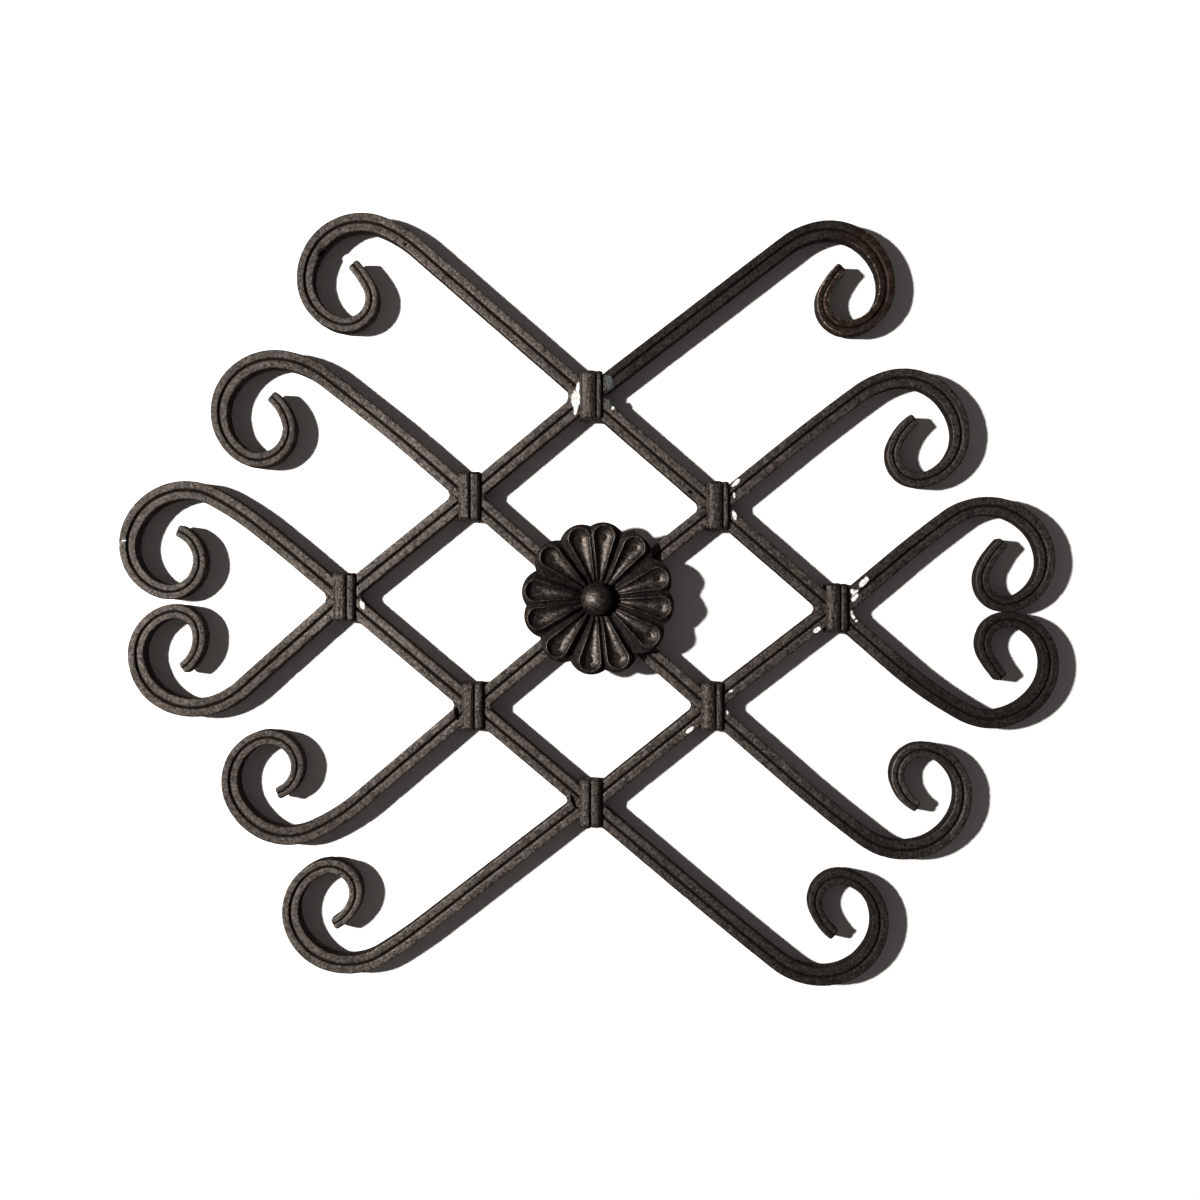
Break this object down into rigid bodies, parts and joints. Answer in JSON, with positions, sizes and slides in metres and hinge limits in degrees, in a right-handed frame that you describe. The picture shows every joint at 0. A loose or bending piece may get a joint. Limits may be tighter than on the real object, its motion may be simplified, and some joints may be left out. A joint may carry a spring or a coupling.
{
  "type": "decorative steel panel",
  "caption": "Flat diamond lattice of grooved square bar with scrolled ends, ribbed collars over its crossings and a domed flower rosette at its centre.",
  "frame": {"origin": "middle of the whole panel's outline in plan, in the plane that it rests on, which is the backs of the collars' ribs", "axes": "+X along the panel's length, towards the right of the picture; +Y up the picture, across the panel; +Z out of its front face, where the rosette is"},
  "size_m": [0.6024, 0.4958, 0.0303],
  "materials": {
    "bar_paint": "worn semi-gloss black paint over mild steel, rusty and chipped in places",
    "collar_paint": "worn semi-gloss black paint over a rough hammered surface",
    "rosette_paint": "semi-gloss black paint over rough cast or pressed metal",
    "weld_paint": "black paint over rough weld metal"
  },
  "bodies": {
    "root": {"through_bar_upper": "bar_paint", "through_bar_middle": "bar_paint", "through_bar_lower": "bar_paint", "scroll_arm_top_right": "bar_paint", "scroll_arm_upper_right": "bar_paint", "scroll_arm_right_upper": "bar_paint", "scroll_arm_left_lower": "bar_paint", "scroll_arm_lower_left": "bar_paint", "scroll_arm_bottom_left": "bar_paint", "link_top_to_upper_left": "bar_paint", "link_upper_left_to_left": "bar_paint", "link_upper_right_to_centre": "bar_paint", "link_centre_to_lower_left": "bar_paint", "link_right_to_lower_right": "bar_paint", "link_lower_right_to_bottom": "bar_paint", "collar_top": "collar_paint", "collar_upper_left": "collar_paint", "collar_upper_right": "collar_paint", "collar_left": "collar_paint", "collar_right": "collar_paint", "collar_lower_left": "collar_paint", "collar_lower_right": "collar_paint", "collar_bottom": "collar_paint", "rosette": "rosette_paint", "rosette_ball": "rosette_paint", "crossing_welds": "weld_paint", "rosette_welds": "weld_paint"}
  },
  "joints": []
}
